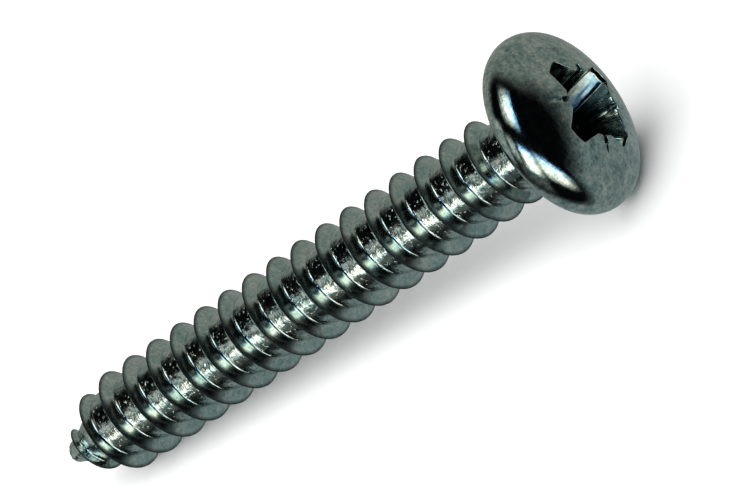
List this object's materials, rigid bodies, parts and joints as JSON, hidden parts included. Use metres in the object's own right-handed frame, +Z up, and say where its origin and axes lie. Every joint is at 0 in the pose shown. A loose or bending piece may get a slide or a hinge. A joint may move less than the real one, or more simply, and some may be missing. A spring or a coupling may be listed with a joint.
{
  "type": "sheet metal screw",
  "caption": "Pan head tapping screw with a cross recess and a coarse thread to its conical point, zinc plated, for fastening sheet metal.",
  "frame": {"origin": "centre of the box's base, on the surface that the screw lies on", "axes": "+Z up, +X the way the head points as the screw lies, its axis rising towards the head in the XZ plane"},
  "size_m": [0.0276, 0.0074, 0.0073],
  "materials": {
    "zinc_steel": "bright zinc plating, slightly mottled"
  },
  "bodies": {
    "root": {"screw": "zinc_steel"}
  },
  "joints": []
}
